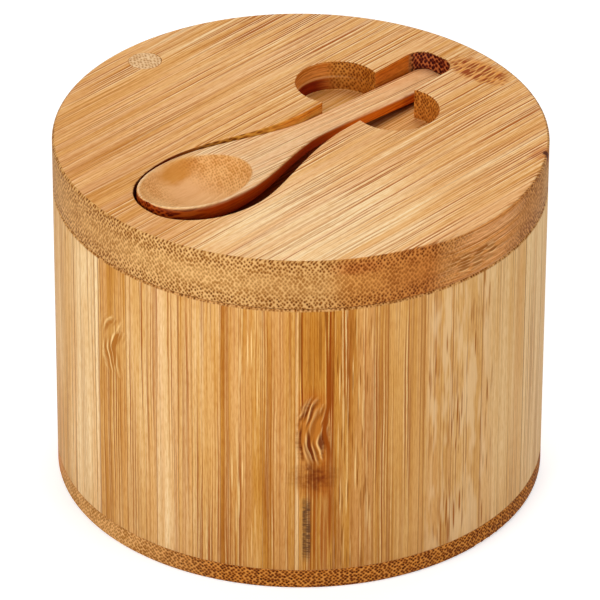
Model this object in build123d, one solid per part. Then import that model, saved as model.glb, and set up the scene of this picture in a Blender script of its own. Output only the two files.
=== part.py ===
from build123d import *
import math
import os

# Round bamboo spice box: a bored wall ring on a base disc, a lid that swivels on a dowel,
# and a small spoon that lies in a pocket cut into the top of the lid.
# Millimetres. The origin is the centre of the underside and +Z is up.
# The spoon points along X, with its bowl towards -X, and the swivel dowel stands at +Y.

# Box
outer_diameter = 90.0
base_thickness = 4.0
wall_height = 55.0
wall_thickness = 12.0
lid_thickness = 10.0
edge_ease = 0.35
base_edge_round = 0.7

# Swivel dowel, glued in the lid and free to turn in the wall
dowel_diameter = 6.0
dowel_depth_in_wall = 22.0
dowel_running_gap = 0.06
dowel_end_gap = 0.5

# Closing magnets, one in the lid and one in the wall
magnet_diameter = 6.0
magnet_thickness = 2.5
magnet_set_back = 0.1

# Spoon, measured along its own flat top
spoon_length = 75.7
bowl_front = 14.5
bowl_half_width = 8.6
bowl_depth = 6.0
neck_length = 30.5
neck_half_width = 2.7
handle_end_half_width = 3.1
handle_thickness = 2.4
side_height = 2.0
belly_length = 24.0
handle_corner = 1.9
outline_power = 2.2

# Hollow of the spoon's bowl
hollow_half_length = 11.7
hollow_half_width = 7.9
hollow_depth = 4.7
hollow_rise = 2.5
hollow_shift = -2.3

# Pocket in the lid
# The pocket was shaped by hand, so its far side (+Y) and near side (-Y) differ a little
pocket_depth = 6.0
tip_room = 0.85
end_room = 0.25
tip_pull_far = 0.7
tip_pull_near = 0.5
bowl_pull = 0.61
bowl_room_far = 2.75
bowl_room_near = 2.55
neck_room_far = 1.55
neck_room_near = 1.7
slot_room_far = 2.0
slot_room_near = 1.2
bowl_end_pull_far = 0.32
bowl_end_pull_near = 0.25
slot_pull_far = 0.42
slot_pull_near = 0.38
slot_corner = 3.5
recess_radius = 7.8
recess_offset = 7.25
recess_side_shift = 0.4
recess_from_centre = 18.35

# How the spoon lies in its pocket
widest_from_centre = -23.3
spoon_side_shift = 1.55
spoon_yaw = -0.75
seat_gap = 0.12

outer_radius = outer_diameter / 2
bore_radius = outer_radius - wall_thickness
wall_middle = outer_radius - wall_thickness / 2
wall_top = base_thickness + wall_height
lid_top = wall_top + lid_thickness
pocket_floor = lid_top - pocket_depth
handle_reach = spoon_length - bowl_front
spoon_tilt = math.asin((bowl_depth - handle_thickness) / handle_reach)
cut_past = 1.0


def disc(radius, low, high):
    """An upright cylinder between two heights."""
    return Pos(0, 0, low) * Cylinder(radius, high - low, align=(Align.CENTER, Align.CENTER, Align.MIN))


def outer_edge(solid, height, radius=outer_radius):
    """The round edge of a turned piece at one height and radius."""
    rings = solid.edges().filter_by(GeomType.CIRCLE).filter_by_position(Axis.Z, height, height)
    return [ring for ring in rings if abs(ring.radius - radius) < 0.01]


def taper(x, length, wide, narrow):
    """A smooth S-shaped narrowing from wide at x = 0 to narrow at x = length."""
    return narrow + (wide - narrow) * (1 + math.cos(math.pi * x / length)) / 2


def spoon_half_width(x):
    """Half the spoon's width, x along it from the widest place of the bowl."""
    if x < 0:
        fraction = 1 - (-x / bowl_front) ** outline_power
        return bowl_half_width * fraction ** (1 / outline_power)
    if x < neck_length:
        return taper(x, neck_length, bowl_half_width, neck_half_width)
    along = (x - neck_length) / (handle_reach - neck_length)
    return neck_half_width + along * (handle_end_half_width - neck_half_width)


def spoon_underside(x):
    """How far the spoon's underside lies below its flat top, on its middle line."""
    if x < 0:
        return side_height + (bowl_depth - side_height) * math.sqrt(1 - (x / bowl_front) ** 2)
    if x < belly_length:
        return taper(x, belly_length, bowl_depth, handle_thickness)
    return handle_thickness


def spoon_section(x):
    """A cross-section of the spoon: flat top, upright sides and a rounded belly."""
    half = spoon_half_width(x)
    belly = spoon_underside(x) - side_height
    top = Line((-half, 0), (half, 0))
    right = Line((half, 0), (half, -side_height))
    round_part = EllipticalCenterArc((0, -side_height), half, belly, 180, arc_size=180)
    left = Line((-half, -side_height), (-half, 0))
    plane = Plane(origin=(x, 0, 0), x_dir=(0, 1, 0), z_dir=(1, 0, 0))
    return plane * make_face([top, right, round_part, left])


def handle_end_cut():
    """What is cut away to round the two corners at the end of the handle."""
    width = 2 * handle_end_half_width
    middle = handle_reach - handle_end_half_width
    rounded = Pos(middle, 0) * RectangleRounded(width, width, handle_corner)
    around = Pos(handle_reach, 0) * Rectangle(2 * handle_corner, width + 2 * cut_past)
    return extrude(around - rounded, bowl_depth, both=True)


def spoon_in_own_frame():
    """The spoon with its flat top at Z = 0 and the widest place of its bowl at X = 0."""
    front_angles = (6, 18, 32, 48, 66)
    front = [-bowl_front * math.cos(math.radians(angle)) for angle in front_angles]
    neck_steps = 6
    neck = [neck_length * step / neck_steps for step in range(neck_steps)]
    handle_steps = 4
    handle_step = (handle_reach - neck_length) / handle_steps
    handle = [neck_length + handle_step * step for step in range(handle_steps + 1)]
    body = loft([spoon_section(x) for x in front + neck + handle])
    body -= handle_end_cut()
    cap = math.sqrt(1 - (hollow_rise / (hollow_rise + hollow_depth)) ** 2)
    radii = (hollow_half_length / cap, hollow_half_width / cap, hollow_rise + hollow_depth)
    hollow = Pos(hollow_shift, 0, hollow_rise) * scale(Sphere(1), by=radii)
    return body - hollow


def spoon_height():
    """Height of the spoon's top at its widest place, with its belly just clear of the floor."""
    steps = 200
    places = [handle_reach * step / steps for step in range(steps + 1)]
    reach_down = [
        x * math.sin(spoon_tilt) + spoon_underside(x) * math.cos(spoon_tilt) for x in places
    ]
    return pocket_floor + seat_gap + max(reach_down)


def spoon():
    """The spoon as it lies in the lid, tipped towards the end of its handle."""
    middle = spoon_side_shift + math.tan(math.radians(spoon_yaw)) * widest_from_centre
    place = Location((widest_from_centre, middle, spoon_height()), (0, 0, spoon_yaw))
    return place * Rot(0, math.degrees(spoon_tilt), 0) * spoon_in_own_frame()


def pocket_side(side, tip_pull, bowl_room, neck_room, slot_room, bowl_end_pull, slot_pull):
    """One side of the pocket's plan, side being 1 for +Y and -1 for -Y."""
    wide = side * (bowl_half_width + bowl_room)
    slot_near_neck = side * (handle_end_half_width + neck_room)
    slot_near_end = side * (handle_end_half_width + slot_room)
    front = bowl_front + tip_room
    tip = widest_from_centre - front
    slot_start = widest_from_centre + neck_length
    slot_end = widest_from_centre + handle_reach + end_room
    bowl_side = Bezier(
        (tip, 0),
        (tip, wide * tip_pull),
        (widest_from_centre - front * bowl_pull, wide),
        (widest_from_centre, wide),
    )
    neck_side = Bezier(
        (widest_from_centre, wide),
        (widest_from_centre + neck_length * bowl_end_pull, wide),
        (slot_start - neck_length * slot_pull, slot_near_neck),
        (slot_start, slot_near_neck),
    )
    corner_start = (slot_end - slot_corner, slot_near_end)
    corner_end = (slot_end, slot_near_end - side * slot_corner)
    slot_side = Line((slot_start, slot_near_neck), corner_start)
    bulge = slot_corner * math.sqrt(0.5)
    corner_middle = (slot_end - slot_corner + bulge, slot_near_end - side * (slot_corner - bulge))
    corner = ThreePointArc(corner_start, corner_middle, corner_end)
    slot_tip = Line(corner_end, (slot_end, 0))
    return [bowl_side, neck_side, slot_side, corner, slot_tip]


def pocket_outline():
    """The plan of the spoon's pocket: a bowl, a narrowing neck and a slot with rounded corners."""
    far_side = pocket_side(
        1, tip_pull_far, bowl_room_far, neck_room_far, slot_room_far, bowl_end_pull_far, slot_pull_far
    )
    near_side = pocket_side(
        -1,
        tip_pull_near,
        bowl_room_near,
        neck_room_near,
        slot_room_near,
        bowl_end_pull_near,
        slot_pull_near,
    )
    return make_face(far_side + near_side)


def lid():
    """The lid: a disc with the spoon's pocket, two finger recesses, and holes below."""
    body = disc(outer_radius, wall_top, lid_top)
    body = chamfer(outer_edge(body, wall_top) + outer_edge(body, lid_top), edge_ease)
    pocket = Pos(0, 0, pocket_floor) * extrude(pocket_outline(), pocket_depth + cut_past)
    body -= pocket
    for side in (-1, 1):
        recess = disc(recess_radius, pocket_floor, lid_top + cut_past)
        middle = recess_side_shift + side * recess_offset
        body -= Pos(recess_from_centre, middle, 0) * recess
    body -= Pos(0, wall_middle, 0) * disc(dowel_diameter / 2, wall_top - cut_past, lid_top + cut_past)
    hole_top = wall_top + magnet_thickness + magnet_set_back
    body -= Pos(0, -wall_middle, 0) * disc(magnet_diameter / 2, wall_top - cut_past, hole_top)
    return body


def box_wall():
    """The wall: a turned ring with a blind hole for the dowel and one for the magnet."""
    body = disc(outer_radius, base_thickness, wall_top)
    body -= disc(bore_radius, base_thickness - cut_past, wall_top + cut_past)
    eased = outer_edge(body, wall_top) + outer_edge(body, wall_top, bore_radius)
    body = chamfer(eased, edge_ease)
    hole_floor = wall_top - dowel_depth_in_wall - dowel_end_gap
    hole_radius = dowel_diameter / 2 + dowel_running_gap
    body -= Pos(0, wall_middle, 0) * disc(hole_radius, hole_floor, wall_top + cut_past)
    magnet_floor = wall_top - magnet_thickness - magnet_set_back
    body -= Pos(0, -wall_middle, 0) * disc(magnet_diameter / 2, magnet_floor, wall_top + cut_past)
    return body


def base_disc():
    """The base: a thin disc glued under the wall, its lower edge rounded."""
    body = disc(outer_radius, 0, base_thickness)
    return fillet(outer_edge(body, 0), base_edge_round)


def pivot_dowel():
    """The dowel that the lid swivels on, its upper end flush with the lid's top."""
    return Pos(0, wall_middle, 0) * disc(dowel_diameter / 2, wall_top - dowel_depth_in_wall, lid_top)


def lid_magnet():
    """The magnet glued into the lid's underside, opposite the dowel."""
    low = wall_top + magnet_set_back
    return Pos(0, -wall_middle, 0) * disc(magnet_diameter / 2, low, low + magnet_thickness)


def wall_magnet():
    """The magnet glued into the top of the wall, under the lid's magnet."""
    high = wall_top - magnet_set_back
    return Pos(0, -wall_middle, 0) * disc(magnet_diameter / 2, high - magnet_thickness, high)


os.makedirs("parts", exist_ok=True)
for piece in (base_disc, box_wall, lid, pivot_dowel, lid_magnet, wall_magnet, spoon):
    export_step(piece(), f"parts/{piece.__name__}.step")
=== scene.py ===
import math

import bmesh
import bpy
from mathutils import Matrix, Vector


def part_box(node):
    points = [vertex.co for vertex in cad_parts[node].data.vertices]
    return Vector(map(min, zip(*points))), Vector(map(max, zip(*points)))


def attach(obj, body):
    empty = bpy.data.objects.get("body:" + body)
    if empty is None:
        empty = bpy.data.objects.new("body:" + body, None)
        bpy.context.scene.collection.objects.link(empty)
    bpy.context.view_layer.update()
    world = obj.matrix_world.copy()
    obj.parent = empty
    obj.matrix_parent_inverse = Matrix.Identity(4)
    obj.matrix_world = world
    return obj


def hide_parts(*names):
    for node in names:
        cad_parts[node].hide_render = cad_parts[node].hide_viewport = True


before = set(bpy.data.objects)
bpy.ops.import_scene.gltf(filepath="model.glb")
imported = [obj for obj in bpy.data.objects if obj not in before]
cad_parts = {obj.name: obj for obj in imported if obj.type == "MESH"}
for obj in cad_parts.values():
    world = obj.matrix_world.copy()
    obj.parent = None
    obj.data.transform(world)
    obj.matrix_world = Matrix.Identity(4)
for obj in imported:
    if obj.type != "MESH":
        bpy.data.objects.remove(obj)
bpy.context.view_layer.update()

# Lengths are metres here, as in the frame. Inside the materials they are millimetres.
MM = 0.001
PER_METRE = 1000

# The photograph's camera. The spoon's axis stands 47.6 degrees from the picture's left-right line.
CAMERA_TURN = 47.6
CAMERA_ELEVATION = 31.59
CAMERA_DISTANCE = 1.1017
CAMERA_TARGET = Vector((0, 0, 0.03455))
CAMERA_ROLL = 0.0045
SENSOR = 36.0
LENS = 359.68
SHIFT_Y = -0.0081

# Surroundings. The floor glows to the camera alone, more strongly far away, so that low views stay white.
AMBIENT = 0.22
FLOOR_HALF = 1.5
FLOOR_GREY = 0.8
GLOW_AT_BOX = 0.5
GLOW_FAR_OFF = 0.95
GLOW_RISES_FROM = 0.25
GLOW_RISES_TO = 1.2

# The spoon, measured along its own flat top
BOWL_FRONT = 14.5 * MM
BOWL_HALF_WIDTH = 8.6 * MM
BOWL_DEPTH = 6.0 * MM
NECK_LENGTH = 30.5 * MM
NECK_HALF_WIDTH = 2.7 * MM
HANDLE_REACH = 61.2 * MM
HANDLE_END_HALF_WIDTH = 3.1 * MM
HANDLE_THICKNESS = 2.4 * MM
SIDE_HEIGHT = 2.0 * MM
BELLY_LENGTH = 24.0 * MM
HANDLE_CORNER = 1.9 * MM
OUTLINE_POWER = 2.2
HOLLOW_HALF_LENGTH = 11.7 * MM
HOLLOW_HALF_WIDTH = 7.9 * MM
HOLLOW_DEPTH = 4.7 * MM
HOLLOW_RISE = 2.5 * MM
HOLLOW_SHIFT = -2.3 * MM
HOLLOW_EDGE = 0.3 * MM
RIM_ROUNDING = 0.3 * MM
SPOON_YAW = math.radians(-0.75)

# How finely the spoon's mesh is cut, and what is mended in it
FRONT_ANGLES = (3.5, 6, 9, 12.5, 16.5, 21, 26)
BOWL_STEP = 0.3 * MM
BOWL_END = 12 * MM
HANDLE_STEP = 0.8 * MM
CORNER_ANGLES = (15, 30, 45, 60, 75, 90)
TOP_COLUMNS = 60
RIM_ANGLES = (30, 60, 90)
BELLY_ARCS = 24
SPOON_WELD = 0.002 * MM
SPOON_CREASE = math.radians(50)

# What is mended in the CAD meshes, and how their edges are softened
CAD_WELD = 0.001 * MM
FLAT_ANGLE = math.radians(0.3)
EDGE_ANGLE = math.radians(30)
EDGE_SEGMENTS = 2
EDGE_SOFTENING = 0.14 * MM
POCKET_SOFTENING = 0.2 * MM
DOWEL_SOFTENING = 0.04 * MM

# From here to the end of the materials, lengths are millimetres.
# The turned rim, and the two finger recesses in the lid
RIM = 45.0
RECESS_AHEAD = 18.35
RECESS_MIDDLE = 0.4
RECESS_OFFSET = 7.25
RECESS_RADIUS = 7.8

# Bands across a surface, each as its middle, its half width and its soft margin. On the lid in x:
RECESSES = (RECESS_AHEAD, 8.2, 0.1)
DARKER_RIM_BAND = (-20.0, 6.0, 5.0)
PALE_BAND_LENGTH = (18.0, 4.0, 5.0)
# On the lid in y; HANDLE_SHADOW is the band of pocket floor under the handle where its shadow is painted:
LEFT_RIM = (-12.0, 8.0, 8.0)
HANDLE_SHADOW = (1.4, 2.2, 1.6)
# On the lid in z:
RIM_MIDDLE = (64.0, 1.0, 2.6)
PALE_BAND_HEIGHT = (65.75, 0.08, 0.25)
# On the wall, sideways from the middle of its front:
FLECKS_ON_LEFT = (-9.7, 2.4, 0.6)
FLECKS_ON_RIGHT = (9.5, 3.0, 0.6)
SPECKS = (9.0, 3.4, 0.8)
CREAM = (28.5, 4.5, 2.0)
TICKS = (28.5, 5.0, 2.0)
NODE_STRIP = (2.9, 3.0, 0.3)
DASHES_ABOVE = (2.2, 2.4, 0.4)
DASHES_BELOW = (4.2, 1.6, 0.5)
SMEAR = (1.35, 0.5, 0.5)
# On the wall, upwards:
NODE_HEIGHT = (31.0, 9.0, 4.0)
DARK_LINE_HEIGHT = (36.0, 20.0, 6.0)
SMEAR_HEIGHT = (13.0, 4.5, 3.5)

# Where one look gives way to the next, each as the two ends of the change. On the lid:
RIM_STARTS = (43.0, 44.0)
FAR_SIDE = (2.0, 4.0)
BURNT_END = (34.6, 36.4)
BELOW_TOP = (67.0, 68.0)
# On the wall's front, upwards:
DASHES_ABOVE_START = (42.0, 47.0)
DASHES_BELOW_END = (22.0, 27.0)
DARKER_ABOVE = (36.0, 44.0)

# The long dark line on the wall: how far it is to the right, and where and how far it swerves
DARK_LINE = 5.3
SWERVE_HEIGHT = 34.5
SWERVE_REACH = 6.0
SWERVE = -0.85

# Oval marks, each as its middle and its half widths. On the lid's top they are given in x and y.
# PALE_FRONT is where a sheen on the lid's top is painted.
PALE_FRONT = ((-23.0, -25.0), (23.0, 17.0))
BRUISE = ((24.2, -36.6), (2.6, 1.7))
CHIP = ((24.8, -37.4), (0.8, 0.9))
# In y and x, z and x, and y and z
NODE_AT_SLOT = ((-8.5, 39.0), (6.0, 3.2))
NODE_ON_RIM = ((62.4, -3.5), (2.2, 7.0))
BARE_RIM = ((-35.5, 64.9), (0.9, 1.9))
SCORCHED_RIM = ((-37.0, 67.2), (2.4, 1.3))
# On the wall's front, sideways from its middle and then up
LEFT_NODE = ((-33.3, 42.5), (2.3, 5.5))
FRONT_NODE = ((2.3, 33.4), (2.7, 6.5))
CLOUD = ((2.6, 24.0), (3.6, 2.6))
# On the spoon, in x and y
BOWL = ((-25.7, 1.9), (11.5, 7.7))
BOWL_GLINTS = ((-29.0, -1.0), (7.5, 4.0))
# BOWL_FRONT_WALL is where light on the hollow's front wall is painted.
BOWL_FRONT_WALL = ((-33.5, -1.0), (4.0, 6.0))
BLOTCH = ((-23.5, 8.5), (4.5, 1.4))

# The place in x that the dots on the spoon lean away from
BOWL_MIDDLE = -25.6

# Towards the picture's left, and how the base's grain is turned
PICTURE_LEFT = (-0.674, 0.738, 0.0)
BASE_GRAIN_TURN = -CAMERA_TURN - 86

# The dots of a cut face stand in rows at 45 degrees. This is the cosine of that angle.
DIAGONAL = 0.7071
DOT_SCATTER = 0.55

# Lines along the grain: how long they are, how far apart, and how wide as a share of that
BROAD_RUN = 110.0
THIN_PITCH = 0.5
THIN_WIDTH = 0.42
PALE_WIDTH = 0.34
PALE_BESIDE = 0.25
BOLD_RUN = 160.0
BOLD_PITCH = 1.3
BOLD_WIDTH = 0.2

# How much wood mirrors, how fine the scratches in the metal are, and the depth of each bump in metres
SHEEN = 0.08
SCRATCH_SCALE = (900, 900, 900)
BOARD_RELIEF = 0.00002
WALL_RELIEF = 0.00001
BASE_RELIEF = 0.00003
METAL_RELIEF = 0.000005

# The strips that the wall is glued up from: where each starts, from the middle, and how pale it is
WALL_STRIPS = (
    (-45.0, 0.2), (-40.9, 0.3), (-36.9, 0.45), (-36.0, -0.05), (-31.0, 0.12), (-25.6, 0.21), (-21.7, 0.02),
    (-19.2, 0.08), (-14.2, -0.2), (-12.6, -0.07), (-6.8, -0.1), (-1.0, 0.22), (-0.3, -0.12), (6.0, -0.2),
    (13.0, -0.12), (15.5, -0.08), (21.3, -0.2), (22.1, -0.02), (27.1, 0.05), (32.4, 0.22), (40.5, 0.5),
)
STRIP_REACH = 46.0
STRIP_GAIN = 1.25
SEAM_WIDTH = 0.0016

# What a colour is multiplied by to lighten it a little
LIGHTER = (1.1, 1.16, 1.24, 1.0)


def colour(red, green, blue):
    """A colour given as 0 to 255, as the renderer wants it."""
    parts = []
    for value in (red, green, blue):
        value /= 255
        parts.append(value / 12.92 if value < 0.04045 else ((value + 0.055) / 1.055) ** 2.4)
    return (*parts, 1.0)


def shades(*stops):
    """A row of colours from dark to pale: stops are (place from 0 to 1, red, green, blue)."""
    return tuple((place, colour(red, green, blue)) for place, red, green, blue in stops)


# How bamboo looks. Along the grain it has broad bands and fine streaks, each with a width and a gain, and
# thin lines in pairs, pale beside dark. Fine streaks are as long as run and thin lines as long as dash.
# Spread is what shows of the thin lines outside their clusters. Across the grain it has dots, at a pitch,
# with a size and softness as shares of it, and a pale net between them.
BOARD = dict(
    band=2.4, band_gain=0.75, fine=0.3, fine_gain=1.3, run=30.0, dash=36.0, spread=0.55,
    tones=shades((0.0, 178, 106, 30), (0.35, 216, 152, 76), (0.65, 240, 186, 120), (1.0, 255, 224, 174)),
    blush=0.4, blush_colour=colour(240, 186, 136), pore=colour(242, 230, 214),
    line_colour=colour(174, 90, 0), thin_line=1.0, bold_line=0.4,
    pale_line=0.8, pale_line_colour=colour(255, 228, 176),
    dot_pitch=(0.54, 0.68), dot=0.25, dot_soft=0.1, dot_strength=1.0,
    dot_colour=colour(100, 48, 6), dot_warm=colour(144, 84, 28),
    end_dark=colour(176, 120, 58), end_pale=colour(200, 146, 82),
    net_colour=colour(228, 176, 110), net_strength=0.75,
)
BASE_PALE = dict(
    BOARD, dot_pitch=(0.6, 0.56), dot_strength=0.7,
    dot_colour=colour(128, 72, 18), dot_warm=colour(164, 100, 38),
    end_dark=colour(186, 126, 58), end_pale=colour(214, 156, 88), net_colour=colour(236, 184, 118),
)
BASE = dict(
    BOARD, dot_pitch=(0.6, 0.56), dot=0.3,
    dot_colour=colour(70, 24, 2), dot_warm=colour(110, 52, 10),
    end_dark=colour(140, 72, 14), end_pale=colour(180, 106, 32), net_colour=colour(218, 146, 66),
)
WALL = dict(
    BOARD, band=3.0, band_gain=0.62, fine=0.19, fine_gain=0.85, run=60.0, dash=70.0, spread=0.35,
    tones=shades((0.0, 164, 90, 14), (0.35, 206, 144, 60), (0.65, 228, 178, 110), (1.0, 252, 220, 168)),
    blush_colour=colour(228, 172, 112), pore=colour(240, 226, 206),
    line_colour=colour(154, 74, 0), bold_line=0.6,
    pale_line=0.6, pale_line_colour=colour(255, 226, 164),
)
DOWEL = dict(
    BOARD, dot_colour=colour(164, 110, 60), dot_warm=colour(190, 136, 82),
    end_dark=colour(218, 170, 116), end_pale=colour(232, 188, 136), net_colour=colour(242, 206, 158),
)
SPOON = dict(
    BOARD, band=2.5, band_gain=0.8, thin_line=0.6, bold_line=0.2, pale_line=0.9,
    tones=shades((0.0, 196, 124, 52), (0.4, 228, 170, 108), (0.7, 242, 196, 144), (1.0, 250, 218, 172)),
    dot_pitch=(0.56, 0.46), dot_soft=0.2, dot_strength=0.62,
    dot_colour=colour(152, 84, 18), dot_warm=colour(184, 114, 44),
    end_dark=colour(210, 146, 76), end_pale=colour(224, 166, 100),
    net_colour=colour(238, 186, 122), net_strength=0.5,
)
# The spoon's dots on its sides and underside, darkened as painted shade.
SPOON_SHADED_DOTS = dict(
    BOARD, dot_pitch=(0.6, 0.6), dot=0.34,
    dot_colour=colour(70, 8, 0), dot_warm=colour(98, 24, 2),
    end_dark=colour(126, 38, 2), end_pale=colour(148, 52, 6), net_colour=colour(172, 76, 16),
)
RIM_SIDE = dict(
    BOARD, band=1.2, band_gain=0.7, fine_gain=1.6, thin_line=0.9, bold_line=0.5, pale_line=0.5,
    tones=shades((0.0, 170, 94, 24), (0.4, 220, 144, 68), (0.7, 244, 174, 98), (1.0, 255, 206, 140)),
    pore=colour(220, 200, 176),
)
BURNT = dict(
    BOARD, dot_pitch=(0.7, 0.75), dot=0.36,
    dot_colour=colour(50, 4, 4), dot_warm=colour(80, 18, 8),
    end_dark=colour(96, 26, 6), end_pale=colour(128, 50, 18), net_colour=colour(198, 112, 58),
)

# How the marks of a bamboo node look: how far their strokes swing and curl, their pitch and length, how
# strongly the ground beneath them is coloured, and the colours of ground and strokes
NODE_DARK = dict(
    swing=1.6, curl=0.03, pitch=0.85, length=9.0, ground=0.8, ground_colour=colour(190, 114, 36),
    bright_colour=colour(250, 196, 122), dark_colour=colour(112, 44, 0),
)
NODE_PALE = dict(
    NODE_DARK, pitch=0.8, ground=0.3, ground_colour=colour(218, 164, 88),
    bright_colour=colour(252, 212, 142), dark_colour=colour(176, 108, 34),
)
NODE_FLECKS = dict(
    NODE_DARK, swing=0.8, curl=0.0, pitch=0.7, length=3.5, ground=0.25, ground_colour=colour(200, 132, 60),
    bright_colour=colour(246, 196, 130), dark_colour=colour(156, 88, 24),
)
NODE_MARKS = dict(
    NODE_FLECKS, ground=0.7, ground_colour=colour(224, 142, 52),
    bright_colour=colour(248, 190, 110), dark_colour=colour(150, 64, 0),
)


class Shader:
    """One material, with short names for the shader nodes that it uses."""

    def __init__(self, name):
        self.material = bpy.data.materials.new(name)
        self.material.use_nodes = True
        self.tree = self.material.node_tree
        self.surface = self.tree.nodes["Principled BSDF"]
        self.start = self.tree.nodes.new("ShaderNodeTexCoord")

    def put(self, socket, value):
        """Links a socket to another node's output, or sets it to a number or colour."""
        if isinstance(value, bpy.types.NodeSocket):
            self.tree.links.new(value, socket)
        else:
            socket.default_value = value

    def node(self, kind, values=(), **settings):
        """A new node with its settings, and with values put into its first sockets."""
        node = self.tree.nodes.new(kind)
        for name, setting in settings.items():
            setattr(node, name, setting)
        for socket, value in zip(node.inputs, values):
            self.put(socket, value)
        return node

    def math(self, operation, *values, clamp=False):
        """One step of arithmetic."""
        return self.node("ShaderNodeMath", values, operation=operation, use_clamp=clamp).outputs[0]

    def vector(self, operation, *values):
        """One step of arithmetic on vectors."""
        node = self.node("ShaderNodeVectorMath", values, operation=operation)
        return node.outputs["Value"] if operation in ("LENGTH", "DOT_PRODUCT") else node.outputs[0]

    def rest(self, value):
        """What a value lacks to 1."""
        return self.math("SUBTRACT", 1.0, value)

    def join(self, x, y, z):
        """A vector from its three parts."""
        return self.node("ShaderNodeCombineXYZ", (x, y, z)).outputs[0]

    def split(self, vector):
        """The three parts of a vector."""
        node = self.node("ShaderNodeSeparateXYZ", (vector,))
        return node.outputs[0], node.outputs[1], node.outputs[2]

    def noise(self, vector, detail=2.0, roughness=0.5):
        """Noise from 0 to 1, and three such values as a vector."""
        node = self.node("ShaderNodeTexNoise")
        self.put(node.inputs["Vector"], vector)
        node.inputs["Scale"].default_value = 1.0
        node.inputs["Detail"].default_value = detail
        node.inputs["Roughness"].default_value = roughness
        return node.outputs[0], node.outputs["Color"]

    def cells(self, vector, randomness):
        """Distance to the nearest of a scattered set of points, and that point's random colour."""
        node = self.node("ShaderNodeTexVoronoi", voronoi_dimensions="2D")
        self.put(node.inputs["Vector"], vector)
        node.inputs["Scale"].default_value = 1.0
        node.inputs["Randomness"].default_value = randomness
        return node.outputs["Distance"], node.outputs["Color"]

    def random(self, value):
        """Three random values that depend on a value."""
        node = self.node("ShaderNodeTexWhiteNoise", noise_dimensions="1D")
        self.put(node.inputs["W"], value)
        return self.split(node.outputs["Color"])

    def fade(self, value, low, high, start=0.0, end=1.0):
        """A smooth step from start at low to end at high."""
        entries = (value, low, high, start, end)
        return self.node("ShaderNodeMapRange", entries, interpolation_type="SMOOTHSTEP").outputs[0]

    def line(self, value, low, high, start, end):
        """A straight change from start at low to end at high, held beyond them."""
        return self.node("ShaderNodeMapRange", (value, low, high, start, end)).outputs[0]

    def between(self, share, first, second):
        """A value that goes from the first to the second as the share goes from 0 to 1."""
        return self.line(share, 0.0, 1.0, first, second)

    def mix(self, factor, first, second, kind="MIX"):
        """A colour that goes from the first to the second as the factor goes from 0 to 1."""
        node = self.node("ShaderNodeMix", data_type="RGBA", blend_type=kind)
        self.put(node.inputs["Factor"], factor)
        self.put(node.inputs[6], first)
        self.put(node.inputs[7], second)
        return node.outputs[2]

    def tint(self, factor, base, tone):
        """A colour multiplied by a tone, as far as the factor goes."""
        return self.mix(factor, base, tone, "MULTIPLY")

    def ramp(self, value, stops, kind="LINEAR"):
        """A colour read off a row of colours: stops are (place from 0 to 1, colour)."""
        node = self.node("ShaderNodeValToRGB", (value,))
        node.color_ramp.interpolation = kind
        marks = node.color_ramp.elements
        while len(marks) < len(stops):
            marks.new(1.0)
        for mark, (place, tone) in zip(marks, stops):
            mark.position = place
            mark.color = tone
        return node.outputs[0]

    def steps(self, value, stops):
        """A value that jumps at each stop: stops are (place from 0 to 1, value)."""
        greys = [(place, (level, level, level, 1)) for place, level in stops]
        return self.split(self.ramp(value, greys, "CONSTANT"))[0]

    def finish(self, base, roughness, height, depth):
        """Joins the worked-out colour, roughness and bump to the surface."""
        self.put(self.surface.inputs["Base Color"], base)
        self.put(self.surface.inputs["Roughness"], roughness)
        self.surface.inputs["Specular IOR Level"].default_value = SHEEN
        bump = self.node("ShaderNodeBump")
        bump.inputs["Strength"].default_value = 1.0
        bump.inputs["Distance"].default_value = depth
        self.put(bump.inputs["Height"], height)
        self.put(self.surface.inputs["Normal"], bump.outputs[0])
        return self.material


def grain_frame(s, turn, upright=False):
    """Place with the grain's direction first, and how squarely the surface faces along the grain.

    The grain runs along Z if upright, and otherwise at an angle of turn from X.
    """
    turned = (0, 0, -math.radians(turn))
    point = s.node("ShaderNodeMapping", (s.start.outputs["Object"],))
    point.inputs["Scale"].default_value = (PER_METRE, PER_METRE, PER_METRE)
    point.inputs["Rotation"].default_value = turned
    facing = s.node("ShaderNodeMapping", (s.start.outputs["Normal"],), vector_type="NORMAL")
    facing.inputs["Rotation"].default_value = turned
    along, across, up = s.split(point.outputs[0])
    face = s.split(facing.outputs[0])
    if upright:
        return (up, along, across), s.math("ABSOLUTE", face[2])
    return (along, across, up), s.math("ABSOLUTE", face[0])


def times(s, first, *others):
    """The product of several values."""
    for other in others:
        first = s.math("MULTIPLY", first, other)
    return first


def swayed(s, value, noise, gain):
    """A value moved up and down by noise."""
    return s.math("MULTIPLY_ADD", s.math("SUBTRACT", noise, 0.5), gain, value)


def window(s, value, centre, half, soft):
    """1 within half of the centre, fading to 0 over the soft margin beyond."""
    away = s.math("ABSOLUTE", s.math("SUBTRACT", value, centre))
    return s.fade(away, half, half + soft, 1.0, 0.0)


def spot(s, place, oval, soft=0.4, ragged=0.0):
    """1 within an oval and 0 outside it, with a soft and ragged edge."""
    centre, reach = oval
    parts = [s.math("DIVIDE", s.math("SUBTRACT", place[i], centre[i]), reach[i]) for i in (0, 1)]
    away = s.vector("LENGTH", s.join(parts[0], parts[1], 0.0))
    if ragged:
        rough = s.join(s.math("MULTIPLY", place[0], 0.5), s.math("MULTIPLY", place[1], 1.3), 4.0)
        away = swayed(s, away, s.noise(rough)[0], ragged)
    return s.fade(away, 1 - soft, 1 + soft, 1.0, 0.0)


def bands(s, along, across, length, width, seed, detail=2.0):
    """Noise drawn out along the grain."""
    place = s.join(s.math("MULTIPLY", along, 1 / length), s.math("MULTIPLY", across, 1 / width), seed)
    return s.noise(place, detail, roughness=0.6)


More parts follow.
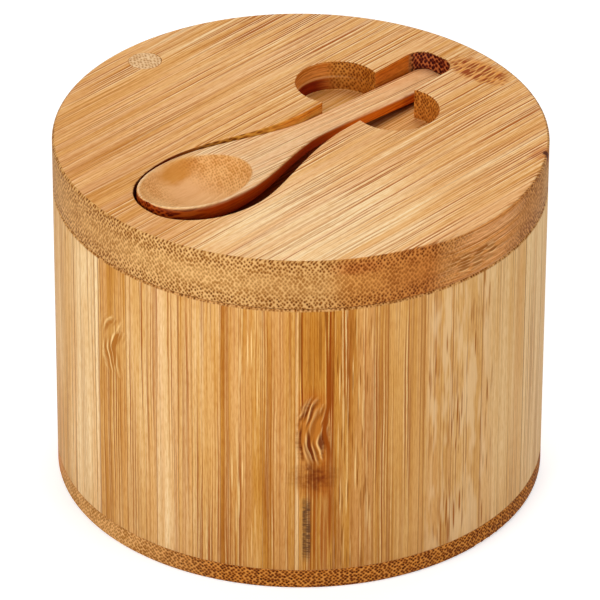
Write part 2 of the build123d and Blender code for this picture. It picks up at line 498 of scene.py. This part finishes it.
def dashes(s, along, across, length, pitch, width, seed, scatter=1.0):
    """Thin tapered dashes along the grain: 1 on the strongest of them and 0 between them."""
    first = s.math("MULTIPLY_ADD", along, 1 / length, seed)
    second = s.math("MULTIPLY_ADD", across, 1 / pitch, seed)
    distance, own = s.cells(s.join(first, second, 0.0), scatter)
    strength = s.between(s.split(own)[0], 0.25, 1.0)
    return times(s, s.fade(distance, 0.4 * width, width, 1.0, 0.0), strength)


def side_grain(s, along, across, look, paleness=0.0, crispness=1.0, seed=0.0):
    """The streaks on a face that runs along the grain. Returns its colour and a height for its thin lines."""
    wander = bands(s, along, across, 30.0, 6.0, seed + 9.0)[0]
    across = swayed(s, across, wander, 0.8)
    broad, hues = bands(s, along, across, BROAD_RUN, look["band"], seed, 1.0)
    fine = bands(s, along, across, look["run"], look["fine"], seed + 2.0)[0]
    tone = swayed(s, 0.5, broad, look["band_gain"])
    tone = swayed(s, tone, fine, times(s, look["fine_gain"], crispness))
    base = s.ramp(s.math("ADD", tone, paleness), look["tones"])
    base = s.mix(s.line(s.split(hues)[1], 0.45, 0.6, 0.0, look["blush"]), base, look["blush_colour"])
    clusters = s.fade(bands(s, along, across, 60.0, 3.0, seed + 4.0)[0], 0.36, 0.6, look["spread"], 1.0)
    beside = s.math("ADD", across, PALE_BESIDE)
    pale = dashes(s, along, beside, look["dash"], THIN_PITCH, PALE_WIDTH, seed + 5.0)
    base = s.mix(times(s, pale, crispness, clusters, look["pale_line"]), base, look["pale_line_colour"])
    thin = dashes(s, along, across, look["dash"], THIN_PITCH, THIN_WIDTH, seed + 5.0)
    base = s.mix(times(s, thin, crispness, clusters, look["thin_line"]), base, look["line_colour"])
    bold = dashes(s, along, across, BOLD_RUN, BOLD_PITCH, BOLD_WIDTH, seed + 7.0)
    base = s.mix(times(s, bold, crispness, look["bold_line"]), base, look["line_colour"])
    pores = s.noise(s.join(s.math("MULTIPLY", along, 0.5), s.math("MULTIPLY", across, 4.0), seed))[0]
    base = s.tint(1.0, base, s.mix(s.fade(pores, 0.3, 0.6), look["pore"], colour(255, 255, 255)))
    return base, s.math("MULTIPLY", s.math("SUBTRACT", pale, thin), 0.5)


def end_grain(s, across, up, look, spread=1.0, strength=1.0):
    """The dots on a face cut across the grain. Returns its colour and a height for its dots."""
    first = s.math("MULTIPLY", across, DIAGONAL / look["dot_pitch"][0])
    second = s.math("MULTIPLY", up, DIAGONAL / look["dot_pitch"][1])
    place = s.join(s.math("ADD", first, second), s.math("SUBTRACT", first, second), 0.0)
    distance, hue = s.cells(place, DOT_SCATTER)
    own = s.split(hue)
    size = times(s, s.between(own[0], 0.75 * look["dot"], 1.25 * look["dot"]), spread)
    dot = s.fade(s.math("SUBTRACT", distance, size), -look["dot_soft"], look["dot_soft"], 1.0, 0.0)
    net = s.fade(distance, 0.42, 0.6)
    broad = s.noise(s.join(s.math("MULTIPLY", across, 0.35), s.math("MULTIPLY", up, 0.35), 0.0))[0]
    base = s.mix(s.fade(broad, 0.35, 0.65), look["end_dark"], look["end_pale"])
    base = s.mix(times(s, net, look["net_strength"]), base, look["net_colour"])
    ink = s.mix(own[1], look["dot_colour"], look["dot_warm"])
    base = s.mix(times(s, dot, look["dot_strength"], strength), base, ink)
    return base, s.math("MULTIPLY", dot, -1.0)


def strokes(s, base, place, oval, seed, look):
    """The curved dark and bright strokes of a bamboo node, laid over a colour inside an oval."""
    across, along = place
    mask = spot(s, place, oval, 0.3, 0.6)
    lift = s.math("SUBTRACT", along, oval[0][1] - 1.5)
    bent = swayed(s, across, bands(s, along, across, 5.0, 3.0, seed, 1.0)[0], look["swing"])
    bent = s.math("MULTIPLY_ADD", times(s, lift, lift), -look["curl"], bent)
    beside = s.math("ADD", bent, 0.45 * look["pitch"])
    dark = dashes(s, along, bent, look["length"], look["pitch"], 0.6, seed, 0.7)
    bright = dashes(s, along, beside, look["length"], look["pitch"], 0.45, seed, 0.7)
    base = s.mix(times(s, mask, look["ground"]), base, look["ground_colour"])
    base = s.mix(times(s, mask, s.math("MULTIPLY", bright, 1.5, clamp=True)), base, look["bright_colour"])
    return s.mix(times(s, mask, s.math("MULTIPLY", dark, 1.6, clamp=True)), base, look["dark_colour"])


def around_rim(s, across):
    """Distance round the turned rim, from how far across the grain a point of it lies."""
    return times(s, s.math("ARCSINE", s.math("DIVIDE", across, RIM)), RIM)


def relief(s, side_height, side_share, end_height, facing):
    """A height from that of the thin lines and, where the grain is cut across, that of the dots."""
    return s.math("ADD", s.math("MULTIPLY", side_height, side_share), times(s, end_height, facing))


def lid_side_grain(s, place, top):
    """The lid's streaks, palest in front where a sheen is painted, with the marks of a node beside the slot
    and one on the rim.
    """
    x, y, z = place
    # The paler front is a painted sheen from the lamps.
    pale_front = spot(s, place, PALE_FRONT, 0.6)
    paleness = s.between(pale_front, s.line(x, -35.0, 10.0, -0.11, 0.08), 0.38)
    crispness = s.line(x, -35.0, 20.0, 0.8, 1.4)
    on_top, height = side_grain(s, x, y, BOARD, paleness, crispness)
    on_side = side_grain(s, x, z, RIM_SIDE, -0.05, seed=3.0)[0]
    on_side = strokes(s, on_side, (z, x), NODE_ON_RIM, 8.0, NODE_FLECKS)
    side = s.mix(top, on_side, on_top)
    return strokes(s, side, (y, x), NODE_AT_SLOT, 5.0, NODE_MARKS), height


def lid_end_grain(s, place, rim, recess):
    """The dots on the lid's rim and in the round of its recesses. The rim's tone changes round it, with
    painted shade where y is most negative.
    """
    x, y, z = place
    sideways = s.math("ABSOLUTE", s.math("SUBTRACT", y, RECESS_MIDDLE))
    ahead = s.math("SUBTRACT", x, RECESS_AHEAD)
    round_recess = s.math("ARCTAN2", s.math("SUBTRACT", sideways, RECESS_OFFSET), ahead)
    across = s.between(recess, y, times(s, round_recess, RECESS_RADIUS))
    across = s.between(rim, across, around_rim(s, y))
    middle = window(s, z, *RIM_MIDDLE)
    weaker = s.between(times(s, rim, middle), 1.0, 0.5)
    strength = times(s, weaker, s.between(spot(s, (y, z), BARE_RIM), 1.0, 0.2))
    end, height = end_grain(s, across, z, BOARD, s.between(middle, 1.1, 0.8), strength)
    scorched = times(s, spot(s, (y, z), SCORCHED_RIM, 0.7, 0.9), s.fade(x, -20.0, -10.0, 1.0, 0.0))
    end = s.tint(times(s, scorched, 0.35), end, colour(214, 130, 60))
    # Painted shade on the rim where y is most negative.
    end = s.tint(times(s, rim, s.fade(y, -44.0, -36.0, 0.8, 0.0)), end, colour(236, 206, 172))
    left = times(s, rim, window(s, y, *LEFT_RIM), s.fade(x, -30.0, -10.0, 1.0, 0.0))
    end = s.tint(left, end, LIGHTER)
    # The rim is darker round x of -20 on its negative-y side.
    darker_band = times(s, rim, window(s, x, *DARKER_RIM_BAND), s.fade(y, -20.0, 0.0, 0.8, 0.0))
    return s.tint(darker_band, end, colour(246, 216, 168)), height


def pocket_walls(s, base, place, walls):
    """The lid's colour with painted shade on its pocket's upright walls, deepest low on the far walls and
    round the bowl, a paler line along the far walls, and burnt at the end of the slot.
    """
    x, y, z = place
    burnt = end_grain(s, s.math("SUBTRACT", y, x), z, BURNT)[0]
    base = s.mix(times(s, walls, s.fade(x, *BURNT_END)), base, burnt)
    walls = times(s, walls, s.fade(x, *BURNT_END, 1.0, 0.0))
    far = s.fade(y, *FAR_SIDE)
    # Painted shade on the pocket's walls: light on the near walls, deeper on the far walls towards the slot,
    # darkest round the bowl.
    wall_shade = s.mix(s.fade(x, 10.0, 12.0), colour(252, 236, 156), colour(236, 206, 146))
    wall_shade = s.mix(s.fade(x, 24.0, 27.0), wall_shade, colour(222, 174, 94))
    wall_shade = s.mix(far, colour(246, 206, 138), wall_shade)
    wall_shade = s.mix(s.fade(x, -24.0, -2.0, 1.0, 0.0), wall_shade, colour(130, 68, 20))
    base = s.tint(walls, base, wall_shade)
    # Painted shade, darker again low on the far walls short of the slot's end.
    wall_foot_shade = times(s, walls, far, s.fade(z, 65.2, 65.8, 1.0, 0.0), s.fade(x, 20.0, 25.5, 1.0, 0.0))
    base = s.tint(wall_foot_shade, base, colour(164, 84, 20))
    # A paler line along the far walls at one height.
    pale_band = times(s, walls, far, window(s, z, *PALE_BAND_HEIGHT), window(s, x, *PALE_BAND_LENGTH))
    return s.mix(times(s, pale_band, 0.35), base, colour(238, 186, 122))


def pocket_floor(s, base, place, floor):
    """The lid's colour with its pocket's floor more golden in the recesses, painted shade towards the bowl,
    and a painted shadow under the handle.
    """
    x, y = place[:2]
    base = s.mix(times(s, floor, s.fade(x, 9.0, 12.0), 0.4), base, colour(232, 166, 74))
    # Painted shade on the floor round the bowl.
    base = s.tint(times(s, floor, s.fade(x, -6.0, 11.0, 0.9, 0.0)), base, colour(196, 132, 76))
    # Painted shadow on the floor under the handle.
    handle_shadow = times(s, floor, window(s, y, *HANDLE_SHADOW), s.fade(x, 8.0, 14.0))
    return s.tint(times(s, handle_shadow, 0.7), base, colour(120, 54, 22))


def lid_material():
    """The lid: streaks on top, dots round the rim and in the recesses, and a chip in its right edge painted
    as a dark mark, its broken wood and its shade together.
    """
    s = Shader("lid_bamboo")
    place, end_face = grain_frame(s, 0)
    x, y, z = place
    top = s.fade(s.math("ABSOLUTE", s.split(s.start.outputs["Normal"])[2]), 0.3, 0.7)
    rim = s.fade(s.vector("LENGTH", s.join(x, y, 0.0)), *RIM_STARTS)
    recess = window(s, x, *RECESSES)
    side, side_height = lid_side_grain(s, place, top)
    end, end_height = lid_end_grain(s, place, rim, recess)
    facing = s.fade(end_face, s.between(recess, 0.15, 0.52), s.between(recess, 0.4, 0.78))
    facing = s.between(rim, facing, s.fade(end_face, 0.06, 0.3))
    base = s.mix(facing, side, end)
    inside = s.rest(rim)
    base = pocket_walls(s, base, place, times(s, inside, s.rest(top)))
    base = pocket_floor(s, base, place, times(s, inside, top, s.fade(z, *BELOW_TOP, 1.0, 0.0)))
    bruise = times(s, spot(s, (x, y), BRUISE, 0.4, 0.8), s.fade(z, 66.0, 67.0))
    base = s.tint(times(s, bruise, 0.7), base, colour(224, 186, 158))
    # The chip is only painted: its dark stands for its broken wood and the shade in it.
    chip = times(s, spot(s, (x, y), CHIP, 0.3, 0.8), s.fade(z, 67.4, 68.0))
    base = s.mix(chip, base, colour(84, 34, 2))
    height = relief(s, side_height, 0.1, end_height, facing)
    return s.finish(base, s.line(end_height, -1.0, 0.0, 0.6, 0.5), height, BOARD_RELIEF)


def wall_strips(s, v):
    """How pale the strip at v is, three random values of its own, and 0 where it meets the next strip."""
    share = s.line(v, -STRIP_REACH, STRIP_REACH, 0.0, 1.0)
    places = [(start + STRIP_REACH) / (2 * STRIP_REACH) for start, pale in WALL_STRIPS]
    places[0] = 0.0
    levels = [STRIP_GAIN * pale + 0.5 for start, pale in WALL_STRIPS]
    paleness = s.math("SUBTRACT", s.steps(share, list(zip(places, levels))), 0.5)
    order = [(place, i / len(places)) for i, place in enumerate(places)]
    own = s.steps(share, order)
    same = s.math("COMPARE", own, s.steps(s.math("ADD", share, SEAM_WIDTH), order), 0.001)
    return paleness, s.random(own), same


def wall_flecks(s, side, u, v, around):
    """The wall's colour, browner to the right, with short marks in some of its strips."""
    side = s.mix(s.fade(v, 6.0, 24.0, 0.0, 0.3), side, colour(222, 172, 106))
    flecked = s.math("MAXIMUM", window(s, v, *FLECKS_ON_LEFT), window(s, v, *FLECKS_ON_RIGHT))
    side = s.mix(times(s, flecked, dashes(s, u, around, 26.0, 0.7, 0.2, 3.0)), side, colour(248, 208, 140))
    specks = times(s, window(s, v, *SPECKS), dashes(s, u, around, 12.0, 0.7, 0.26, 33.0))
    side = s.mix(specks, side, colour(146, 82, 16))
    patches = s.fade(bands(s, u, v, 14.0, 1.5, 12.0)[0], 0.45, 0.6)
    cream = times(s, window(s, v, *CREAM), patches)
    side = s.mix(times(s, cream, 0.6), side, colour(240, 202, 150))
    clusters = s.fade(bands(s, u, v, 16.0, 3.0, 16.0)[0], 0.45, 0.6)
    ticks = times(s, dashes(s, u, around, 12.0, 0.7, 0.36, 15.0), clusters, window(s, v, *TICKS))
    return s.mix(s.math("MULTIPLY", ticks, 1.3, clamp=True), side, colour(164, 94, 22))


def front_strip(s, side, u, v):
    """The wall's colour with the strip left dark by the larger node, and the dashes above and below it."""
    strip = window(s, v, *NODE_STRIP)
    patches = s.line(bands(s, u, v, 16.0, 1.6, 31.0)[0], 0.35, 0.6, 0.9, 0.4)
    near_node = times(s, strip, window(s, u, *NODE_HEIGHT))
    side = s.tint(times(s, near_node, patches), side, colour(240, 200, 130))
    side = s.tint(times(s, strip, s.fade(u, *DARKER_ABOVE)), side, colour(240, 224, 180))
    above = times(s, window(s, v, *DASHES_ABOVE), s.fade(u, *DASHES_ABOVE_START))
    side = s.mix(times(s, above, dashes(s, u, v, 40.0, 1.5, 0.26, 6.0, 0.6)), side, colour(136, 72, 8))
    below = times(s, window(s, v, *DASHES_BELOW), s.fade(u, *DASHES_BELOW_END, 1.0, 0.0))
    return s.mix(times(s, below, dashes(s, u, v, 26.0, 0.9, 0.4, 9.0, 0.7)), side, colour(164, 82, 14))


def dark_line(s, side, u, v):
    """The wall's colour with the long dark line that swerves round the larger node."""
    from_swerve = s.math("ABSOLUTE", s.math("SUBTRACT", u, SWERVE_HEIGHT))
    swerve = s.fade(from_swerve, 0.0, SWERVE_REACH, SWERVE, 0.0)
    beside = s.math("ABSOLUTE", s.math("SUBTRACT", v, s.math("ADD", swerve, DARK_LINE)))
    breadth = s.fade(u, 40.0, 52.0, 0.75, 0.4)
    dark = s.fade(s.math("DIVIDE", beside, breadth), 0.2, 1.0, 1.0, 0.0)
    dark = times(s, dark, window(s, u, *DARK_LINE_HEIGHT))
    strength = s.fade(s.math("ABSOLUTE", s.math("SUBTRACT", u, 39.0)), 8.0, 16.0, 1.0, 0.45)
    return s.mix(times(s, dark, strength), side, colour(150, 70, 2))


def grey_smear(s, side, u, v):
    """The wall's colour with the grey smear low on its front, and the mottled cloud above it."""
    smear = times(s, window(s, v, *SMEAR), window(s, u, *SMEAR_HEIGHT))
    rungs = s.noise(s.join(s.math("MULTIPLY", u, 3.4), s.math("MULTIPLY", v, 0.8), 1.0), 1.0)[0]
    side = s.mix(times(s, smear, s.line(rungs, 0.35, 0.6, 0.45, 0.95)), side, colour(98, 62, 36))
    mottle = s.noise(s.join(s.math("MULTIPLY", u, 0.9), s.math("MULTIPLY", v, 0.7), 7.0), 3.0)[0]
    cloud = times(s, spot(s, (v, u), CLOUD, 0.6, 0.6), s.line(mottle, 0.3, 0.65, 0.3, 1.0))
    return s.tint(cloud, side, colour(176, 138, 100))


def wall_material():
    """The wall: upright strips, each with its own tone and streaks, and a node's marks on its front.

    Here u is the height, v goes sideways across the front and w goes through the box, away from the front.
    """
    s = Shader("wall_bamboo")
    place, end_face = grain_frame(s, -CAMERA_TURN, upright=True)
    u, v, w = place
    around = s.math("MULTIPLY", s.math("ARCTAN2", v, s.math("MULTIPLY", w, -1.0)), RIM)
    paleness, own, same_strip = wall_strips(s, v)
    along = s.math("MULTIPLY_ADD", own[0], 70.0, u)
    across = s.math("MULTIPLY_ADD", own[1], 50.0, around)
    paleness = swayed(s, paleness, bands(s, u, v, 28.0, 5.0, 41.0)[0], 0.6)
    side, height = side_grain(s, along, across, WALL, paleness, s.between(own[2], 0.75, 1.35))
    side = wall_flecks(s, side, u, v, around)
    marked = front_strip(s, side, u, v)
    marked = strokes(s, marked, (v, u), LEFT_NODE, 2.0, NODE_PALE)
    marked = strokes(s, marked, (v, u), FRONT_NODE, 4.0, NODE_DARK)
    marked = dark_line(s, marked, u, v)
    marked = grey_smear(s, marked, u, v)
    side = s.mix(s.fade(w, 0.0, 1.0, 1.0, 0.0), side, marked)
    base = s.mix(s.fade(end_face, 0.2, 0.7), side, end_grain(s, v, w, BOARD)[0])
    base = s.mix(s.between(same_strip, 0.6, 0.0), base, colour(150, 84, 20))
    return s.finish(base, s.line(height, -0.5, 0.4, 0.55, 0.48), height, WALL_RELIEF)


def base_material():
    """The base: dots all round the rim that the photograph shows, paler to the left."""
    s = Shader("base_bamboo")
    place, end_face = grain_frame(s, BASE_GRAIN_TURN)
    x, y, z = place
    side, side_height = side_grain(s, x, s.math("ADD", y, z), RIM_SIDE, -0.1)
    end, end_height = end_grain(s, around_rim(s, y), z, BASE)
    pale_end = end_grain(s, around_rim(s, y), z, BASE_PALE)[0]
    leftward = s.vector("DOT_PRODUCT", s.start.outputs["Object"], PICTURE_LEFT)
    end = s.mix(s.fade(leftward, 0.012, 0.036), end, pale_end)
    facing = s.fade(end_face, 0.04, 0.2)
    height = relief(s, side_height, 0.5, end_height, facing)
    return s.finish(s.mix(facing, side, end), s.line(end_height, -1.0, 0.0, 0.6, 0.5), height, BASE_RELIEF)


def dowel_material():
    """The dowel: a pale round of end grain in the lid's top."""
    s = Shader("dowel_bamboo")
    place, end_face = grain_frame(s, 0, upright=True)
    z, x, y = place
    side = side_grain(s, z, x, DOWEL)[0]
    end, end_height = end_grain(s, x, y, DOWEL)
    base = s.mix(s.fade(end_face, 0.2, 0.7), side, end)
    return s.finish(base, s.line(end_height, -1.0, 0.0, 0.55, 0.45), end_height, BOARD_RELIEF)


def spoon_material():
    """The spoon: fine streaks, soft dots where the bowl cuts the grain, painted light on the hollow's front
    wall, and painted shade that makes its sides and underside dark, reddish and dotted.
    """
    s = Shader("spoon_bamboo")
    place, end_face = grain_frame(s, 0)
    x, y, z = place
    top = s.fade(s.split(s.start.outputs["Normal"])[2], 0.05, 0.2)
    below = s.rest(top)
    bowl = spot(s, place, BOWL, 0.1)
    paleness = s.between(bowl, 0.2, -0.05)
    on_top, top_height = side_grain(s, x, y, SPOON, paleness, s.between(bowl, 1.5, 0.2), 6.0)
    on_top = s.mix(times(s, bowl, 0.6), on_top, colour(226, 170, 110))
    # The spoon's sides take darker streaks: painted shade.
    side = s.mix(top, side_grain(s, x, z, SPOON, -0.3, seed=8.0)[0], on_top)
    from_bowl = s.math("ABSOLUTE", s.math("SUBTRACT", x, BOWL_MIDDLE))
    leaning = s.math("MULTIPLY_ADD", from_bowl, -0.6, y)
    end, end_height = end_grain(s, leaning, s.math("MULTIPLY_ADD", from_bowl, 0.5, z), SPOON)
    low = s.between(top, 0.2, s.fade(x, -34.0, -29.0, 0.16, 0.04))
    facing = s.fade(end_face, low, s.math("ADD", low, 0.34))
    base = s.mix(facing, side, end)
    glints = times(s, dashes(s, x, y, 7.0, 0.8, 0.4, 21.0), spot(s, place, BOWL_GLINTS, 0.5, 0.6))
    base = s.mix(times(s, glints, 0.7), base, colour(250, 206, 152))
    # Painted light: the front wall of the bowl's hollow is lightened.
    front_wall = spot(s, place, BOWL_FRONT_WALL, 0.6)
    base = s.mix(times(s, front_wall, top, 0.45), base, colour(255, 216, 160))
    # Painted shade: sides and underside darkened, redder under the bowl, with darker dots where they face
    # along the grain.
    shade = s.mix(s.fade(x, 0.0, 12.0), colour(206, 102, 22), colour(252, 178, 60))
    base = s.tint(below, base, shade)
    base = s.tint(times(s, top, s.fade(x, 0.0, 14.0)), base, colour(255, 246, 236))
    dotted = end_grain(s, leaning, z, SPOON_SHADED_DOTS)[0]
    base = s.mix(times(s, below, s.fade(end_face, 0.2, 0.5)), base, dotted)
    blotch = times(s, spot(s, place, BLOTCH, 0.5, 0.6), top, 0.9)
    base = s.tint(blotch, base, colour(228, 200, 128))
    height = relief(s, top_height, 0.3, end_height, facing)
    return s.finish(base, s.line(end_height, -1.0, 0.0, 0.55, 0.42), height, BOARD_RELIEF)


def magnet_material():
    """The magnets: brushed nickel with fine scratches."""
    s = Shader("magnet_metal")
    s.surface.inputs["Metallic"].default_value = 1.0
    place = s.vector("MULTIPLY", s.start.outputs["Object"], SCRATCH_SCALE)
    scratch = s.noise(place, detail=4.0, roughness=0.7)[0]
    base = s.mix(scratch, colour(118, 118, 124), colour(158, 158, 164))
    return s.finish(base, s.line(scratch, 0.3, 0.7, 0.3, 0.46), scratch, METAL_RELIEF)


def taper(x, length, wide, narrow):
    """A smooth S-shaped narrowing from wide at x = 0 to narrow at x = length."""
    return narrow + (wide - narrow) * (1 + math.cos(math.pi * x / length)) / 2


def spoon_half_width(x):
    """Half the spoon's width, x along it from the widest place of the bowl."""
    if x < 0:
        fraction = max(0.0, 1 - (-x / BOWL_FRONT) ** OUTLINE_POWER)
        return BOWL_HALF_WIDTH * fraction ** (1 / OUTLINE_POWER)
    if x < NECK_LENGTH:
        return taper(x, NECK_LENGTH, BOWL_HALF_WIDTH, NECK_HALF_WIDTH)
    along = (x - NECK_LENGTH) / (HANDLE_REACH - NECK_LENGTH)
    half = NECK_HALF_WIDTH + along * (HANDLE_END_HALF_WIDTH - NECK_HALF_WIDTH)
    into_corner = x - (HANDLE_REACH - HANDLE_CORNER)
    if into_corner > 0:
        half += math.sqrt(max(0.0, HANDLE_CORNER**2 - into_corner**2)) - HANDLE_CORNER
    return half


def spoon_underside(x):
    """How far the spoon's underside lies below its flat top, on its middle line."""
    if x < 0:
        return SIDE_HEIGHT + (BOWL_DEPTH - SIDE_HEIGHT) * math.sqrt(max(0.0, 1 - (x / BOWL_FRONT) ** 2))
    if x < BELLY_LENGTH:
        return taper(x, BELLY_LENGTH, BOWL_DEPTH, HANDLE_THICKNESS)
    return HANDLE_THICKNESS


def spoon_top(x, y):
    """Height of the spoon's top: flat, with the bowl's hollow let in with a soft edge."""
    whole = HOLLOW_RISE + HOLLOW_DEPTH
    cap = math.sqrt(1 - (HOLLOW_RISE / whole) ** 2)
    share = ((x - HOLLOW_SHIFT) * cap / HOLLOW_HALF_LENGTH) ** 2 + (y * cap / HOLLOW_HALF_WIDTH) ** 2
    hollow = HOLLOW_RISE - whole * math.sqrt(max(0.0, 1 - share))
    return (hollow - math.sqrt(hollow**2 + HOLLOW_EDGE**2)) / 2


def spoon_stations():
    """Places along the spoon where it has a cross-section, close together where its outline turns."""
    front = [-BOWL_FRONT * math.cos(math.radians(angle)) for angle in FRONT_ANGLES]
    bowl = [front[-1] + BOWL_STEP * (i + 1) for i in range(int((BOWL_END - front[-1]) / BOWL_STEP))]
    corner_start = HANDLE_REACH - HANDLE_CORNER
    count = int((corner_start - bowl[-1]) / HANDLE_STEP)
    handle = [bowl[-1] + (corner_start - bowl[-1]) * (i + 1) / count for i in range(count)]
    corner = [corner_start + HANDLE_CORNER * math.sin(math.radians(angle)) for angle in CORNER_ANGLES]
    return front + bowl + handle + corner


def spoon_ring(x):
    """The closed cross-section at one station: the top from side to side, then round the belly."""
    half = spoon_half_width(x)
    rounding = min(RIM_ROUNDING, 0.6 * half)
    inner = half - rounding
    flat = [inner * (2 * i / TOP_COLUMNS - 1) for i in range(TOP_COLUMNS + 1)]
    top = [(x, y, spoon_top(x, y)) for y in flat]
    turns = [math.radians(angle) for angle in RIM_ANGLES]
    rim = [(inner + rounding * math.sin(turn), rounding * (math.cos(turn) - 1)) for turn in turns]
    belly = spoon_underside(x) - SIDE_HEIGHT
    turns = [math.pi * i / BELLY_ARCS for i in range(BELLY_ARCS + 1)]
    under = [(x, half * math.cos(turn), -SIDE_HEIGHT - belly * math.sin(turn)) for turn in turns]
    right = [(x, y, z) for y, z in rim]
    left = [(x, -y, z) for y, z in reversed(rim)]
    return top + right + under + left


def make_spoon():
    """The spoon: its hollowed bowl, neck and handle, as one smooth mesh that stands for the CAD spoon."""
    work = bmesh.new()
    rings = [[work.verts.new(point) for point in spoon_ring(x)] for x in spoon_stations()]
    for first, second in zip(rings, rings[1:]):
        for i in range(len(first)):
            j = (i + 1) % len(first)
            work.faces.new((first[i], first[j], second[j], second[i]))
    work.faces.new(reversed(rings[0]))
    work.faces.new(rings[-1])
    bmesh.ops.remove_doubles(work, verts=work.verts, dist=SPOON_WELD)
    bmesh.ops.dissolve_degenerate(work, edges=work.edges, dist=SPOON_WELD)
    bmesh.ops.recalc_face_normals(work, faces=work.faces)
    tilt = math.asin((BOWL_DEPTH - HANDLE_THICKNESS) / HANDLE_REACH)
    turn = Matrix.Rotation(SPOON_YAW, 4, "Z") @ Matrix.Rotation(tilt, 4, "Y")
    bmesh.ops.transform(work, matrix=turn, verts=work.verts)
    low = Vector([min(vert.co[axis] for vert in work.verts) for axis in range(3)])
    bmesh.ops.translate(work, vec=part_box("spoon")[0] - low, verts=work.verts)
    mesh = bpy.data.meshes.new("spoon_dressed")
    work.to_mesh(mesh)
    work.free()
    mesh.shade_smooth()
    mesh.set_sharp_from_angle(angle=SPOON_CREASE)
    mesh.materials.append(spoon_material())
    spoon = add_object("spoon_dressed", mesh)
    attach(spoon, "spoon")
    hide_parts("spoon")


def dress(node, material, softening):
    """Gives a CAD node its finish, and softens its sharp edges."""
    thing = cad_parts[node]
    thing.data.materials[0] = material
    weld = thing.modifiers.new("weld", "WELD")
    weld.merge_threshold = CAD_WELD
    flat = thing.modifiers.new("flat", "DECIMATE")
    flat.decimate_type = "DISSOLVE"
    flat.angle_limit = FLAT_ANGLE
    bevel = thing.modifiers.new("edges", "BEVEL")
    bevel.width = softening
    bevel.segments = EDGE_SEGMENTS
    bevel.limit_method = "ANGLE"
    bevel.angle_limit = EDGE_ANGLE
    bevel.harden_normals = True


def add_object(name, data):
    """A new object in the scene."""
    thing = bpy.data.objects.new(name, data)
    bpy.context.scene.collection.objects.link(thing)
    return thing


def make_world():
    """White where the camera or a glossy surface sees it, and a soft even light elsewhere."""
    scene = bpy.context.scene
    scene.view_settings.view_transform = "Standard"
    world = bpy.data.worlds.new("studio")
    scene.world = world
    world.use_nodes = True
    nodes = world.node_tree.nodes
    links = world.node_tree.links
    light = nodes["Background"]
    light.inputs["Color"].default_value = (1, 1, 1, 1)
    light.inputs["Strength"].default_value = AMBIENT
    white = nodes.new("ShaderNodeBackground")
    white.inputs["Strength"].default_value = 1.0
    path = nodes.new("ShaderNodeLightPath")
    seen = nodes.new("ShaderNodeMath")
    seen.operation = "MAXIMUM"
    links.new(path.outputs["Is Camera Ray"], seen.inputs[0])
    links.new(path.outputs["Is Glossy Ray"], seen.inputs[1])
    mix = nodes.new("ShaderNodeMixShader")
    links.new(seen.outputs[0], mix.inputs["Fac"])
    links.new(light.outputs[0], mix.inputs[1])
    links.new(white.outputs[0], mix.inputs[2])
    links.new(mix.outputs[0], nodes["World Output"].inputs["Surface"])


def direction(azimuth, elevation):
    """The unit vector towards a viewer, in degrees. Azimuth 0 looks along +Y."""
    a = math.radians(azimuth)
    e = math.radians(elevation)
    return Vector((math.sin(a) * math.cos(e), -math.cos(a) * math.cos(e), math.sin(e)))


def aim(thing, towards, distance, roll=0.0):
    """Puts a lamp or camera at a distance from the camera's target, looking at it."""
    place = CAMERA_TARGET + towards * distance
    turn = (CAMERA_TARGET - place).to_track_quat("-Z", "Y").to_matrix().to_4x4()
    thing.matrix_world = Matrix.Translation(place) @ turn @ Matrix.Rotation(roll, 4, "Z")


def make_camera():
    """The photograph's camera."""
    data = bpy.data.cameras.new("camera")
    data.sensor_width = SENSOR
    data.lens = LENS
    data.shift_y = SHIFT_Y
    data.clip_end = 10
    camera = add_object("camera", data)
    aim(camera, direction(-CAMERA_TURN, CAMERA_ELEVATION), CAMERA_DISTANCE, CAMERA_ROLL)
    bpy.context.scene.camera = camera


def make_lamp(name, turn_from_camera, elevation, distance, size, power):
    """A soft square lamp, placed by its angle from the camera."""
    data = bpy.data.lights.new(name, "AREA")
    data.shape = "SQUARE"
    data.size = size
    data.energy = power
    aim(add_object(name, data), direction(turn_from_camera - CAMERA_TURN, elevation), distance)


def make_floor():
    """A pale floor, white to the camera, that keeps the box's soft shadow."""
    s = Shader("floor")
    s.surface.inputs["Base Color"].default_value = (FLOOR_GREY, FLOOR_GREY, FLOOR_GREY, 1)
    s.surface.inputs["Roughness"].default_value = 0.9
    s.surface.inputs["Specular IOR Level"].default_value = 0.0
    away = s.vector("LENGTH", s.start.outputs["Object"])
    rise = s.line(away, GLOW_RISES_FROM, GLOW_RISES_TO, GLOW_AT_BOX, GLOW_FAR_OFF)
    path = s.node("ShaderNodeLightPath")
    glow = s.node("ShaderNodeEmission")
    s.put(glow.inputs["Strength"], times(s, path.outputs["Is Camera Ray"], rise))
    both = s.node("ShaderNodeAddShader", (s.surface.outputs[0], glow.outputs[0]))
    s.put(s.tree.nodes["Material Output"].inputs["Surface"], both.outputs[0])
    mesh = bpy.data.meshes.new("floor")
    corners = [(x * FLOOR_HALF, y * FLOOR_HALF, 0) for x, y in ((-1, -1), (1, -1), (1, 1), (-1, 1))]
    mesh.from_pydata(corners, [], [(0, 1, 2, 3)])
    mesh.materials.append(s.material)
    floor = add_object("floor", mesh)


make_world()
make_camera()
make_floor()
make_lamp("overhead", turn_from_camera=165, elevation=62, distance=0.8, size=0.5, power=2.8)
make_lamp("front_left", turn_from_camera=-40, elevation=28, distance=0.5, size=0.35, power=1.6)
make_lamp("front_right", turn_from_camera=48, elevation=24, distance=0.7, size=0.4, power=1.6)
make_spoon()
dress("lid", lid_material(), POCKET_SOFTENING)
dress("box_wall", wall_material(), EDGE_SOFTENING)
dress("base_disc", base_material(), EDGE_SOFTENING)
dress("pivot_dowel", dowel_material(), DOWEL_SOFTENING)
magnet_metal = magnet_material()
dress("lid_magnet", magnet_metal, EDGE_SOFTENING)
dress("wall_magnet", magnet_metal, EDGE_SOFTENING)
